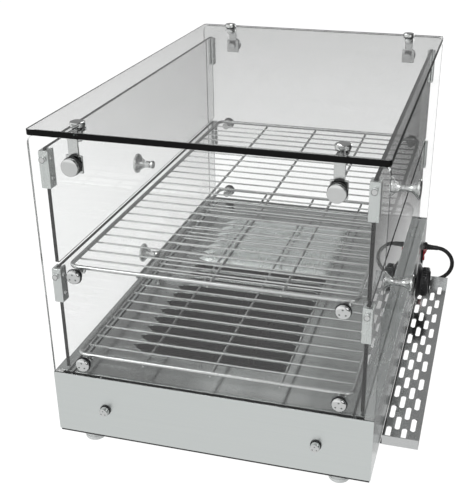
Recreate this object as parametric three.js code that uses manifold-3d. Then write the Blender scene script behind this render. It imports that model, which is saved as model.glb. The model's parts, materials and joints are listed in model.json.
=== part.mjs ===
// Countertop hot food display case: a heated steel base, a glass case with two
// top-hung flaps on each long side, two wire racks and an operator's shelf.
// Millimetres, +Z up. X runs along the case, -Y is the operator's side, Z = 0 is the counter.
import * as THREE from 'three';
import { mergeVertices } from 'three/addons/utils/BufferGeometryUtils.js';
import Module from 'manifold-3d';

const wasm = await Module();
wasm.setup();

// ---- driving dimensions ----
const LENGTH = 540;
const WIDTH = 350;
const FOOT_HEIGHT = 12;
const BASE_TOP = 89;
const CASE_TOP = 362.4;
const GLASS = 6;
const PANE = 4;
const SHEET = 1.2;
const GAP = 0.4;

const COVER_TOP = FOOT_HEIGHT + 2.4;
const HALF_LENGTH = LENGTH / 2;
const HALF_WIDTH = WIDTH / 2;
const GLASS_OUTER = HALF_LENGTH - SHEET - GAP;
const GLASS_INNER = GLASS_OUTER - GLASS;
const TOP_GLASS_BOTTOM = CASE_TOP - GLASS;
const DECK_HALF_WIDTH = 152.5;
const SEAT_HALF_WIDTH = 155;
const SEAT_DEPTH = 13;
const FOOT = { x: 253, y: 140, radius: 12 };
const BASE_BOLT = { y: 117, z: 49.7, radius: 2.6 };
// the end glass goes down inside the base as a narrower tongue
const TONGUE = { halfWidth: 164.5, low: 34 };
// warm air slots in the deck: the first row lies this many rack bays from the near end
const VENTS = { rows: 11, first: 3, halfWidth: 7, y0: -68, y1: 108 };
const ELEMENT = { x0: -170, x1: 120, y: -60, pitch: 44, z: 66, radius: 4 };

const PANE_Y = 161.5;
const PANE_END = GLASS_INNER - 5;
const UPPER = { pivotZ: 331.5, paneLow: 218, paneHigh: 341.5, name: 'upper' };
const LOWER = { pivotZ: 204.5, paneLow: 91.5, paneHigh: 213, name: 'lower' };
const CLAMP = { thick: 10, deep: 12.5, above: 8, below: 30.5 };
const KNOB_UP = 18;

const RACK_STUD_Y = 139;
const RACK_STUD_Z = [103.5, 209];
const RACK_LEVELS = ['lower', 'upper'];
const RACK = { halfLength: 254.5, halfWidth: 150, wire: 4.5, rod: 3, cross: 2, bays: 24 };
const TOP_CLAMP = { y: 129, discZ: 329, capX: 250 };

const SHELF = { inner: 177, outer: 216.5, end: 201.5, plateZ: 12, lipZ: 24, lipInner: 176.4, tabInset: 60 };
const SHELF_SLOT = {
  halfLength: 13, halfWidth: 2.9, pitch: 42.3, rows: 9, columns: 4, y: 181.2, step: 8.7, x: [20.9, 42.1],
};
const CONTROL_Z = 52;
const KNOB_X = 130;
const KNOB_Z = 49.5;
const SWITCH_X = 213;
const GLAND_X = 242;
const GLAND_TIP = 195;
const CORD_DIAMETER = 6;
const COIL = { x: 330, y: 0, inner: 26.6, outer: 39.4, height: 18.6, mid: 36 };
const PLUG_Z = 15.2;
// the case stands centred on its own outline: the shelf reaches further out than the flap knobs
const KNOB_REACH = 182.5;
const CORD_REACH = 220;
const CENTRE_SHIFT = (CORD_REACH - KNOB_REACH) / 2;

// ---- solids ----
function solid(geometry) {
  const bare = geometry.clone();
  for (const name of ['normal', 'uv']) bare.deleteAttribute(name);
  const merged = mergeVertices(bare, 1e-4);
  return new wasm.Manifold(new wasm.Mesh({
    numProp: 3,
    vertProperties: new Float32Array(merged.attributes.position.array),
    triVerts: new Uint32Array(merged.index.array),
  }));
}

function surface(body) {
  const mesh = body.getMesh();
  const geometry = new THREE.BufferGeometry();
  geometry.setAttribute('position', new THREE.BufferAttribute(new Float32Array(mesh.vertProperties), 3));
  geometry.setIndex(new THREE.BufferAttribute(new Uint32Array(mesh.triVerts), 1));
  return geometry;
}

const join = (...parts) => surface(parts.map(solid).reduce((all, part) => all.add(part)));
const cut = (whole, ...tools) => surface(
  tools.map(solid).reduce((rest, tool) => rest.subtract(tool), solid(whole)),
);

function box(x0, x1, y0, y1, z0, z1) {
  const geometry = new THREE.BoxGeometry(x1 - x0, y1 - y0, z1 - z0);
  return geometry.translate((x0 + x1) / 2, (y0 + y1) / 2, (z0 + z1) / 2);
}

// a round bar along X from x0 to x1
function barX(x0, x1, y, z, radius, sides = 12) {
  const geometry = new THREE.CylinderGeometry(radius, radius, x1 - x0, sides);
  return geometry.rotateZ(-Math.PI / 2).translate((x0 + x1) / 2, y, z);
}

function barY(y0, y1, x, z, radius, sides = 12) {
  const geometry = new THREE.CylinderGeometry(radius, radius, y1 - y0, sides);
  return geometry.translate(x, (y0 + y1) / 2, z);
}

function barZ(z0, z1, x, y, radius, sides = 12) {
  const geometry = new THREE.CylinderGeometry(radius, radius, z1 - z0, sides);
  return geometry.rotateX(Math.PI / 2).translate(x, y, (z0 + z1) / 2);
}

// a turned piece: [radius, distance] pairs along +Y from the first to the last
function turned(profile, sides = 16) {
  return new THREE.LatheGeometry(profile.map(([r, d]) => new THREE.Vector2(r, d)), sides);
}

// the same, standing out along +X
const turnedX = (profile, sides) => turned(profile, sides).rotateZ(-Math.PI / 2);

// a flat outline pushed from z0 up to z1
function plate(shape, z0, z1) {
  const geometry = new THREE.ExtrudeGeometry(shape, { depth: z1 - z0, bevelEnabled: false });
  return surface(solid(geometry.translate(0, 0, z0)));
}

// an outline of [y, z] points pushed along X from x0 to x1
function endOn(outline, x0, x1) {
  const shape = new THREE.Shape(outline.map(([y, z]) => new THREE.Vector2(y, z)));
  return plate(shape, x0, x1).rotateX(Math.PI / 2).rotateZ(Math.PI / 2);
}

// a rectangle with round corners, each corner an arc of a few straight steps
function roundedOutline(x0, x1, y0, y1, radius, steps = 2) {
  const points = [];
  const corners = [[x1, y0, -1, 1], [x1, y1, -1, -1], [x0, y1, 1, -1], [x0, y0, 1, 1]];
  corners.forEach(([x, y, inX, inY], corner) => {
    for (let i = 0; i <= steps; i += 1) {
      const a = (Math.PI / 2) * (corner - 1 + i / steps);
      points.push(new THREE.Vector2(x + radius * (inX + Math.cos(a)), y + radius * (inY + Math.sin(a))));
    }
  });
  return new THREE.Shape(points);
}

// ---- materials ----
function finish(color, roughness, metalness) {
  return () => new THREE.MeshStandardMaterial({ color, roughness, metalness });
}
const brushedSteel = finish(0xc3c8c7, 0.35, 0.9);
const polishedSteel = finish(0xd6d6d6, 0.12, 1);
const clearGlass = finish(0xdfeae7, 0.03, 0);
const blackSteel = finish(0x1c1c1c, 0.6, 0.3);
const blackPlastic = finish(0x161616, 0.45, 0);
const redPlastic = finish(0x8f0d18, 0.35, 0);
const clearRubber = finish(0xc6cac9, 0.6, 0);
const heaterAlloy = finish(0x4a4643, 0.55, 0.8);
const cordRubber = finish(0x101010, 0.55, 0);

const caseModel = new THREE.Group();
caseModel.position.set(0, CENTRE_SHIFT, 0);

function part(name, geometry, material, place = {}) {
  const mesh = new THREE.Mesh(geometry, material());
  mesh.name = name;
  mesh.position.set(place.x ?? 0, place.y ?? 0, place.z ?? 0);
  mesh.rotation.set(place.rx ?? 0, place.ry ?? 0, place.rz ?? 0);
  (place.into ?? caseModel).add(mesh);
  return mesh;
}

// the two ends are the same, turned half round: pieces built for the +X end go in both groups
const ends = [
  { name: 'near', turn: Math.PI },
  { name: 'far', turn: 0 },
].map((end) => {
  const group = new THREE.Group();
  group.rotation.z = end.turn;
  caseModel.add(group);
  return { ...end, group };
});
const sideName = (end, side) => ((side > 0) === (end.turn === 0) ? 'customer' : 'operator');

// ---- heated base ----
const BAY = (2 * RACK.halfLength) / RACK.bays;

function baseShell() {
  const outer = box(-HALF_LENGTH, HALF_LENGTH, -HALF_WIDTH, HALF_WIDTH, COVER_TOP + GAP, BASE_TOP);
  const inX = HALF_LENGTH - SHEET;
  const inY = HALF_WIDTH - SHEET;
  const hollow = box(-inX, inX, -inY, inY, 0, BASE_TOP - SHEET);
  const mouth = box(-inX, inX, -SEAT_HALF_WIDTH, SEAT_HALF_WIDTH, 0, BASE_TOP + 1);
  const room = TONGUE.halfWidth + 1.5;
  const tongues = [-1, 1].map((s) => {
    const x = s * (inX - 4);
    return box(x - 4, x + 4, -room, room, BASE_TOP - 2 * SHEET, BASE_TOP + 1);
  });
  const boltHoles = [-1, 1].map((s) => barX(-HALF_LENGTH - 1, HALF_LENGTH + 1,
    s * BASE_BOLT.y, BASE_BOLT.z, BASE_BOLT.radius, 8));
  const controls = [
    barY(-HALF_WIDTH - 2, -inY + 2, KNOB_X, KNOB_Z, 5.5),
    box(SWITCH_X - 6.6, SWITCH_X + 6.6, -HALF_WIDTH - 2, -inY + 2, CONTROL_Z - 9.6, CONTROL_Z + 9.6),
    barY(-HALF_WIDTH - 2, -inY + 2, GLAND_X, CONTROL_Z, 5),
  ];
  const shell = cut(outer, hollow, mouth, ...tongues, ...boltHoles, ...controls);
  const ledges = [-1, 1].flatMap((s) => {
    const web = s * (SEAT_HALF_WIDTH + SHEET / 2);
    const ledge = s * (SEAT_HALF_WIDTH - 4);
    return [
      box(-inX + 12, inX - 12, web - SHEET / 2, web + SHEET / 2, BASE_TOP - SEAT_DEPTH, BASE_TOP - SHEET / 2),
      box(-inX + 12, inX - 12, ledge - 5.2, ledge + 5.2,
        BASE_TOP - SEAT_DEPTH - 1, BASE_TOP - SEAT_DEPTH + 0.2),
    ];
  });
  return join(shell, ...ledges);
}

function deckPlate() {
  const halfX = GLASS_INNER - 1;
  const skirtLow = BASE_TOP - SEAT_DEPTH + 0.6;
  const outer = box(-halfX, halfX, -DECK_HALF_WIDTH, DECK_HALF_WIDTH, skirtLow, BASE_TOP);
  const under = box(-halfX - 1, halfX + 1, -DECK_HALF_WIDTH + SHEET, DECK_HALF_WIDTH - SHEET,
    skirtLow - 1, BASE_TOP - SHEET);
  const slots = [];
  for (let row = 0; row < VENTS.rows; row += 1) {
    const x = -RACK.halfLength + (row + VENTS.first) * BAY;
    slots.push(box(x - VENTS.halfWidth, x + VENTS.halfWidth, VENTS.y0, VENTS.y1, BASE_TOP - 3, BASE_TOP + 1));
  }
  return cut(outer, under, ...slots);
}

// a tube bent back and forth in three runs under the deck
function heatingElement() {
  const { x0, x1, y, pitch } = ELEMENT;
  const at = (x, yy) => new THREE.Vector3(x, yy, ELEMENT.z);
  const bend = (x, yy, out) => new THREE.QuadraticBezierCurve3(
    at(x, yy), at(x + out, yy + pitch / 2), at(x, yy + pitch),
  );
  const curve = new THREE.CurvePath();
  curve.add(new THREE.LineCurve3(at(x1, y), at(x0, y)));
  curve.add(bend(x0, y, -pitch));
  curve.add(new THREE.LineCurve3(at(x0, y + pitch), at(x1, y + pitch)));
  curve.add(bend(x1, y + pitch, pitch));
  curve.add(new THREE.LineCurve3(at(x1, y + 2 * pitch), at(x0, y + 2 * pitch)));
  const route = new THREE.CatmullRomCurve3(curve.getPoints(6), false, 'centripetal');
  return tube(route, ELEMENT.radius, 24, 8);
}

// a solid rod of round section swept along a curve
function tube(route, radius, steps, sides) {
  const section = new THREE.Shape();
  for (let i = 0; i < sides; i += 1) {
    const a = (2 * Math.PI * i) / sides;
    const [x, y] = [radius * Math.cos(a), radius * Math.sin(a)];
    if (i === 0) section.moveTo(x, y);
    else section.lineTo(x, y);
  }
  return new THREE.ExtrudeGeometry(section, { steps, extrudePath: route, bevelEnabled: false });
}

function foot() {
  const { radius } = FOOT;
  const top = FOOT_HEIGHT - GAP;
  return turned([[0, 0], [radius - 2, 0], [radius, 2], [radius, top], [0, top]], 14).rotateX(Math.PI / 2);
}

part('base_shell', baseShell(), brushedSteel);
part('base_bottom_cover', box(-HALF_LENGTH + 1, HALF_LENGTH - 1, -HALF_WIDTH + 1, HALF_WIDTH - 1,
  FOOT_HEIGHT, COVER_TOP), blackSteel);
part('deck_plate', deckPlate(), brushedSteel);
part('heating_element', heatingElement(), heaterAlloy);
for (const [i, [sx, sy]] of [[-1, -1], [-1, 1], [1, -1], [1, 1]].entries()) {
  part(`foot_${i + 1}`, foot(), clearRubber, { x: sx * FOOT.x, y: sy * FOOT.y });
}

// ---- glass case ----
const studPlaces = [-1, 1].flatMap((s) => RACK_STUD_Z.map((z) => [s * RACK_STUD_Y, z]));
const pivotPlaces = [-1, 1].flatMap((s) => [UPPER, LOWER].map((flap) => [s * PANE_Y, flap.pivotZ]));
const discPlaces = [-1, 1].map((s) => [s * TOP_CLAMP.y, TOP_CLAMP.discZ]);
const basePlaces = [-1, 1].map((s) => [s * BASE_BOLT.y, BASE_BOLT.z]);

function endGlass() {
  const upper = box(GLASS_INNER, GLASS_OUTER, -HALF_WIDTH, HALF_WIDTH,
    BASE_TOP + GAP, TOP_GLASS_BOTTOM - GAP);
  const tongue = box(GLASS_INNER, GLASS_OUTER, -TONGUE.halfWidth, TONGUE.halfWidth, TONGUE.low, BASE_TOP + 1);
  const hole = (r) => ([y, z]) => barX(GLASS_INNER - 1, GLASS_OUTER + 1, y, z, r, 10);
  return cut(join(upper, tongue), ...studPlaces.map(hole(4)), ...pivotPlaces.map(hole(3.2)),
    ...discPlaces.map(hole(4)), ...basePlaces.map(hole(3)));
}

function topGlass() {
  const sheet = box(-HALF_LENGTH, HALF_LENGTH, -HALF_WIDTH, HALF_WIDTH, TOP_GLASS_BOTTOM, CASE_TOP);
  const holes = [-1, 1].flatMap((sx) => [-1, 1].map((sy) => barZ(TOP_GLASS_BOTTOM - 1, CASE_TOP + 1,
    sx * TOP_CLAMP.capX, sy * TOP_CLAMP.y, 4, 10)));
  return cut(sheet, ...holes);
}

// angle bracket inside the corner, its disc-headed bolt through the end glass
// and its capped bolt through the top glass
function topClamp() {
  const inner = GLASS_INNER - GAP;
  const underTop = TOP_GLASS_BOTTOM - GAP;
  const z = TOP_CLAMP.discZ;
  const pad = box(inner - 3, inner, -8.5, 8.5, z - 9, z + 9);
  const strap = box(inner - 3, inner, -5.2, 5.2, z, underTop);
  const leg = box(TOP_CLAMP.capX - 8, inner, -5.2, 5.2, underTop - 3, underTop);
  const shank = barX(inner - 1, GLASS_OUTER + 2.6, 0, z, 3, 10);
  const disc = barX(GLASS_OUTER + 2.4, GLASS_OUTER + 7.4, 0, z, 9, 16);
  const capShank = barZ(underTop - 1, CASE_TOP + 1, TOP_CLAMP.capX, 0, 3, 10);
  const cap = barZ(CASE_TOP + GAP, CASE_TOP + 5.6, TOP_CLAMP.capX, 0, 7.5, 14);
  return join(pad, strap, leg, shank, disc, capShank, cap);
}

// button head outside, shank through the glass, grooved spool inside
function rackStud() {
  const face = GLASS_OUTER - GLASS_INNER;
  return turnedX([
    [0, -14.5], [4.8, -14.5], [4.8, -11.6], [2.6, -10.8], [2.6, -5], [4.8, -4.2], [6.4, -GAP],
    [3.2, -GAP], [3.2, face + GAP], [7.8, face + GAP], [7.8, face + 2.6], [5, face + 4.8], [0, face + 4.8],
  ], 10);
}

// bush and pivot pin for a flap's clamp
function hingePin() {
  const face = GLASS_OUTER - GLASS_INNER;
  return turnedX([[0, -3.4], [2.2, -3.4], [2.2, 0.2], [2.8, 0.2], [2.8, face], [0, face]], 12);
}

for (const end of ends) {
  part(`end_glass_${end.name}`, endGlass(), clearGlass, { into: end.group });
  for (const side of [-1, 1]) {
    const which = `${end.name}_${sideName(end, side)}`;
    part(`top_clamp_${which}`, topClamp(), polishedSteel, { into: end.group, y: side * TOP_CLAMP.y });
    RACK_STUD_Z.forEach((z, i) => part(`rack_stud_${RACK_LEVELS[i]}_${which}`, rackStud(), polishedSteel,
      { into: end.group, x: GLASS_INNER, y: side * RACK_STUD_Y, z }));
    for (const flap of [UPPER, LOWER]) {
      part(`hinge_pin_${flap.name}_${which}`, hingePin(), polishedSteel,
        { into: end.group, x: GLASS_INNER, y: side * PANE_Y, z: flap.pivotZ });
    }
  }
}
part('top_glass', topGlass(), clearGlass);

// ---- flaps ----
// block that grips the pane's corner and turns on the hinge pin; its origin is on the pivot
function hingeClamp() {
  const front = GLASS_INNER - GAP;
  const half = CLAMP.thick / 2;
  const block = box(front - CLAMP.deep, front, -half, half, -CLAMP.below, CLAMP.above);
  const paneSlot = box(front - CLAMP.deep - 1, PANE_END + 0.3, -PANE / 2 - 0.3, PANE / 2 + 0.3,
    -CLAMP.below - 1, CLAMP.above + 1);
  const bore = barX(front - 3.6, front + 1, 0, 0, 2.6, 12);
  return cut(block, paneSlot, bore);
}

// trumpet-shaped pull outside the pane, its screw through the pane and a nut inside
function flapKnob() {
  const out = PANE / 2;
  const profile = [
    [0, -out - 3.4], [5, -out - 3.4], [5, -out - 0.3], [2.2, -out - 0.3], [2.2, out + 0.3], [4.2, out + 0.3],
  ];
  const steps = 3;
  for (let i = 1; i <= steps; i += 1) {
    const t = i / steps;
    profile.push([4.2 + 8.3 * t ** 3, out + 0.3 + 15.7 * t]);
  }
  profile.push([12.5, out + 19], [0, out + 19]);
  return turned(profile, 12);
}

function flap(level, side) {
  const sideWord = side > 0 ? 'customer' : 'operator';
  const name = `${level.name}_${sideWord}`;
  const knobZ = level.paneLow + KNOB_UP;
  const pane = cut(
    box(-PANE_END, PANE_END, -PANE / 2, PANE / 2, level.paneLow, level.paneHigh),
    barY(-PANE, PANE, 0, knobZ, 2.6, 10),
  );
  part(`flap_glass_${name}`, pane, clearGlass, { y: side * PANE_Y });
  part(`flap_knob_${name}`, flapKnob(), polishedSteel,
    { y: side * PANE_Y, z: knobZ, rz: side > 0 ? 0 : Math.PI });
  for (const end of ends) {
    const inEnd = end.turn === 0 ? side : -side;
    part(`hinge_clamp_${name}_${end.name}`, hingeClamp(), polishedSteel,
      { into: end.group, y: inEnd * PANE_Y, z: level.pivotZ });
  }
}
for (const side of [-1, 1]) for (const level of [UPPER, LOWER]) flap(level, side);

// ---- racks ----
function rack() {
  const outline = (half) => [-RACK.halfLength - half, RACK.halfLength + half,
    -RACK.halfWidth - half, RACK.halfWidth + half];
  const shape = roundedOutline(...outline(RACK.wire / 2), 8);
  const bayY = RACK.halfWidth / 2;
  const thick = RACK.wire / 2;
  const gaps = [];
  for (let row = 0; row < RACK.bays; row += 1) {
    const x0 = -RACK.halfLength + row * BAY + (row === 0 ? RACK.wire : RACK.cross) / 2;
    const x1 = -RACK.halfLength + (row + 1) * BAY - (row === RACK.bays - 1 ? RACK.wire : RACK.cross) / 2;
    for (let column = -2; column < 2; column += 1) {
      const y0 = column * bayY + (column === -2 ? RACK.wire : RACK.rod) / 2;
      const y1 = (column + 1) * bayY - (column === 1 ? RACK.wire : RACK.rod) / 2;
      gaps.push(box(x0, x1, y0, y1, -thick - 1, thick + 1));
    }
  }
  return cut(plate(shape, -thick, thick), ...gaps);
}
RACK_LEVELS.forEach((level, i) => {
  part(`rack_${level}`, rack(), polishedSteel, { z: RACK_STUD_Z[i] + 2.6 + GAP + RACK.wire / 2 });
});

// ---- operator's side ----
function shelf() {
  const shape = new THREE.Shape();
  const x0 = -SHELF.end;
  const x1 = SHELF.end;
  const tabs = [x0 + SHELF.tabInset, x1 - SHELF.tabInset];
  const edge = HALF_WIDTH + GAP;
  shape.moveTo(x0, -SHELF.outer);
  shape.lineTo(x1, -SHELF.outer);
  shape.lineTo(x1, -SHELF.inner);
  for (const x of [...tabs].reverse()) {
    shape.lineTo(x + 14, -SHELF.inner);
    shape.lineTo(x + 14, -edge);
    shape.lineTo(x - 14, -edge);
    shape.lineTo(x - 14, -SHELF.inner);
  }
  shape.lineTo(x0, -SHELF.inner);
  const slots = [];
  for (let column = 0; column < SHELF_SLOT.columns; column += 1) {
    const y = -(SHELF_SLOT.y + SHELF_SLOT.step * column);
    for (let row = 0; row < SHELF_SLOT.rows; row += 1) {
      const x = x0 + SHELF_SLOT.x[column % 2] + SHELF_SLOT.pitch * row;
      slots.push(box(x - SHELF_SLOT.halfLength, x + SHELF_SLOT.halfLength, y - SHELF_SLOT.halfWidth,
        y + SHELF_SLOT.halfWidth, SHELF.plateZ - 1, SHELF.plateZ + 2));
    }
  }
  const flat = cut(plate(shape, SHELF.plateZ, SHELF.plateZ + SHEET), ...slots);
  const lip = [[-SHELF.outer, SHELF.plateZ], [-SHELF.inner, SHELF.plateZ], [-SHELF.lipInner, SHELF.lipZ],
    [-SHELF.outer, SHELF.lipZ]];
  return join(flat, endOn(lip, x0, x0 + SHEET), endOn(lip, x1 - SHEET, x1));
}

function thermostatKnob() {
  const round = turned([
    [0, 0], [24.5, 0], [24.5, 2.5], [20.5, 4.5], [19.3, 8], [20.4, 14], [19.6, 16], [0, 16],
  ], 24);
  const bar = box(-2.5, 2.5, 15, 17.8, -16.5, 16.5);
  return join(round, bar);
}

const wall = -HALF_WIDTH;
part('operator_shelf', shelf(), polishedSteel);
part('thermostat_body', join(
  box(KNOB_X - 18, KNOB_X + 18, wall + SHEET + GAP, wall + 32, KNOB_Z - 18, KNOB_Z + 18),
  barY(wall - 2, wall + 8, KNOB_X, KNOB_Z, 4.5),
), blackPlastic);
part('thermostat_knob', thermostatKnob(), blackPlastic,
  { x: KNOB_X, y: wall - 2.4, z: KNOB_Z, rz: Math.PI });
part('switch_body', cut(
  join(box(SWITCH_X - 6.2, SWITCH_X + 6.2, wall - 0.5, wall + 22, CONTROL_Z - 9.2, CONTROL_Z + 9.2),
    box(SWITCH_X - 8, SWITCH_X + 8, wall - 2.4, wall - GAP, CONTROL_Z - 11, CONTROL_Z + 11)),
  box(SWITCH_X - 5, SWITCH_X + 5, wall - 3, wall + 6, CONTROL_Z - 8.4, CONTROL_Z + 8.4),
), blackPlastic);

// the rocker seen from the end of the case, its origin on its pivot and its top edge standing out
function rocker() {
  return endOn([[0, -7], [-3.6, -7.3], [-2.6, 0], [-5.4, 7.3], [0, 7], [2.4, 0]], -4.6, 4.6);
}
part('switch_rocker', rocker(), redPlastic, { x: SWITCH_X, y: wall, z: CONTROL_Z });

// ---- cord ----
const glandLength = GLAND_TIP - HALF_WIDTH;
part('cord_gland', turned([
  [0, -6], [4.4, -6], [4.4, GAP], [7, GAP], [7, 5], [5.2, 6.5], [3.9, glandLength], [0, glandLength],
], 14), blackPlastic, { x: GLAND_X, y: wall, z: CONTROL_Z, rz: Math.PI });

const cordRoute = [
  [242, -195.6, 52], [242, -199.6, 51.6], [242, -205, 50], [242, -212.3, 44.8], [241.8, -217.6, 36.9],
  [241.4, -219.5, 27.5],
  [240.6, -217.6, 18.1], [239, -212.3, 10.2], [236.8, -204.4, 4.9], [234, -195, 3], [229, -180, 3],
  [224, -164, 3], [220, -146, 3], [218, -126, 3], [219, -104, 3], [224, -83, 3], [234, -64, 3],
  [250, -48, 3], [270, -39, 3], [289, -36.2, 3], [306.6, -36, 3],
].map(([x, y, z]) => new THREE.Vector3(x, y, z));

function powerCord() {
  return tube(new THREE.CatmullRomCurve3(cordRoute, false, 'centripetal'), CORD_DIAMETER / 2, 40, 8);
}

function cordCoil() {
  const { inner, outer, height } = COIL;
  const ring = [[inner, 0], [outer, 0], [outer, height], [inner, height], [inner, 0]];
  return turned(ring, 24).rotateX(Math.PI / 2);
}

function plug() {
  const body = turned([[0, 0], [4.4, 0], [5.2, 24], [10, 30], [14.6, 36], [14.8, 60], [13, 62], [0, 62]], 16);
  const pins = [-9.5, 9.5].map((x) => barY(61, 81, x, 0, 2.4, 8));
  return join(body, ...pins);
}

part('power_cord', powerCord(), cordRubber);
part('cord_coil', cordCoil(), cordRubber, { x: COIL.x, y: COIL.y });
part('plug', plug(), blackPlastic, { x: COIL.x + COIL.mid, y: COIL.y + 25.6, z: PLUG_Z });

export default caseModel;
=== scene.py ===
"""Looks of the countertop hot food display case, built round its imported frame."""
import json
import math

import bmesh
import bpy
from mathutils import Matrix, Vector

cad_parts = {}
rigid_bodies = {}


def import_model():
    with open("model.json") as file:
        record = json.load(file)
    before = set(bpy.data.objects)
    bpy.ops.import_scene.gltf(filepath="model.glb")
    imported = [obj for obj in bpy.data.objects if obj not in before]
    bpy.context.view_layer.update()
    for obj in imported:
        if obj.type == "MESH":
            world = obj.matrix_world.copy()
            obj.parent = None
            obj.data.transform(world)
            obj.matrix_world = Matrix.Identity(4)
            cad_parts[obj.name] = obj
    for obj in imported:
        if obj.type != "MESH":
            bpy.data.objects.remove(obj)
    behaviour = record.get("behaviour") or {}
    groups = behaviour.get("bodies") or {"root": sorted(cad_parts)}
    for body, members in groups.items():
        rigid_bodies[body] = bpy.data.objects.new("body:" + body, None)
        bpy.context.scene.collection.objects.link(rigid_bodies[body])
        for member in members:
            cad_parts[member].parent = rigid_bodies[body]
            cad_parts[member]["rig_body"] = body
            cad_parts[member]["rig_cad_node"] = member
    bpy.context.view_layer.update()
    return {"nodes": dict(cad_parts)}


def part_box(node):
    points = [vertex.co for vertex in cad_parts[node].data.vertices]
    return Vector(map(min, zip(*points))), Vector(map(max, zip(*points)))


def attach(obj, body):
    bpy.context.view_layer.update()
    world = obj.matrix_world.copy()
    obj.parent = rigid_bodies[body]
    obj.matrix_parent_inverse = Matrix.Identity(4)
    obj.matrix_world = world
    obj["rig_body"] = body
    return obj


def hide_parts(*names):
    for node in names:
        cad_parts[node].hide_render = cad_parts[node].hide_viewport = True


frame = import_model()
BODY_OF = {node: obj["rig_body"] for node, obj in frame["nodes"].items()}

# ---- sizes, in millimetres; the case's own middle lies at MIDDLE_Y in the frame ----
MM = 0.001
base_low, base_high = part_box("base_shell")
MIDDLE_Y = (base_low.y + base_high.y) / 2
HALF_LENGTH = base_high.x / MM
HALF_WIDTH = (base_high.y - base_low.y) / 2 / MM
BASE_TOP = base_high.z / MM
CASE_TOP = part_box("top_glass")[1].z / MM
GLASS_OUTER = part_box("end_glass_far")[1].x / MM
GLASS_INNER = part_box("end_glass_far")[0].x / MM
# thickness of the case's glass, of a flap's pane and of the soft layer between metal and glass
GLASS, PANE, PAD_GAP = 6, 4, 0.4
PANE_Y = 161.5
PIVOT_Z = {"upper": 331.5, "lower": 204.5}
KNOB_Z = {"upper": 236.0, "lower": 109.5}
STUD_Y = 139
STUD_Z = {"lower": 103.5, "upper": 209}
CLAMP_Y, DISC_Z, CAP_X = 129, 329, 250
FOOT_X, FOOT_Y = 253, 140
BASE_BOLT_Y, BASE_BOLT_Z = 117, 49.7
RACK_X, RACK_Y = 254.5, 150
DIAL_X, DIAL_Z = 130, 49.5
BAYS = 24
BAY = 2 * RACK_X / BAYS
ENDS = {"near": -1, "far": 1}
SIDES = {"customer": 1, "operator": -1}


# ---- camera ----
LENS, FILM_WIDTH, LENS_SHIFT = 63.23, 36, (-0.055, 0.0174)
CAMERA_PLACE = (-0.98920, -0.23615, 0.61390)
CAMERA_AIM = (0.86944, 0.23607, -0.43397)
SEES_FROM, SEES_TO = 0.01, 50


def add_camera():
    data = bpy.data.cameras.new("camera")
    data.lens, data.sensor_width = LENS, FILM_WIDTH
    data.shift_x, data.shift_y = LENS_SHIFT
    data.clip_start, data.clip_end = SEES_FROM, SEES_TO
    camera = bpy.data.objects.new("camera", data)
    bpy.context.scene.collection.objects.link(camera)
    camera.location = CAMERA_PLACE
    camera.rotation_mode = "QUATERNION"
    camera.rotation_quaternion = Vector(CAMERA_AIM).to_track_quat("-Z", "Y")
    bpy.context.scene.camera = camera


# ---- making tools ----
def at(x, y, z):
    """a point of the case, in millimetres from its own middle, as a point of the frame in metres"""
    return Vector((x * MM, y * MM + MIDDLE_Y, z * MM))


def deselect():
    bpy.ops.object.select_all(action="DESELECT")


def choose(*objects):
    deselect()
    for obj in objects:
        obj.select_set(True)
    bpy.context.view_layer.objects.active = objects[0]


def edit(obj):
    choose(obj)
    bpy.ops.object.mode_set(mode="EDIT")
    bpy.ops.mesh.select_all(action="SELECT")


def leave():
    bpy.ops.object.mode_set(mode="OBJECT")


def added(name):
    """the primitive just added, named, with its place put into its mesh"""
    obj = bpy.context.active_object
    obj.name = obj.data.name = name
    obj.data.transform(obj.matrix_basis)
    obj.matrix_basis = Matrix.Identity(4)
    return obj


def smooth(obj, angle=32):
    choose(obj)
    bpy.ops.object.shade_smooth_by_angle(angle=math.radians(angle))
    return obj


def rounded(obj, width, segments=2, angle=35, flat=False):
    """rounds the edges that turn by more than angle, width in millimetres; flat keeps big sheets dead flat"""
    choose(obj)
    bevel = obj.modifiers.new("round", "BEVEL")
    bevel.width, bevel.segments, bevel.limit_method = width * MM, segments, "ANGLE"
    bevel.angle_limit = math.radians(angle)
    bpy.ops.object.modifier_apply(modifier="round")
    if flat:
        bpy.ops.object.shade_flat()
        return obj
    smooth(obj)
    even = obj.modifiers.new("even", "WEIGHTED_NORMAL")
    even.keep_sharp = True
    bpy.ops.object.modifier_apply(modifier="even")
    return obj


def block(name, x0, x1, y0, y1, z0, z1, width=0.4):
    """a block with rounded edges"""
    deselect()
    bpy.ops.mesh.primitive_cube_add(size=1, location=at((x0 + x1) / 2, (y0 + y1) / 2, (z0 + z1) / 2),
                                    scale=((x1 - x0) * MM, (y1 - y0) * MM, (z1 - z0) * MM))
    return rounded(added(name), width)


AXIS_TURN = {
    "+z": Matrix.Identity(4), "-z": Matrix.Rotation(math.pi, 4, "X"),
    "+x": Matrix.Rotation(math.pi / 2, 4, "Y"), "-x": Matrix.Rotation(-math.pi / 2, 4, "Y"),
    "+y": Matrix.Rotation(-math.pi / 2, 4, "X"), "-y": Matrix.Rotation(math.pi / 2, 4, "X"),
}


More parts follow.
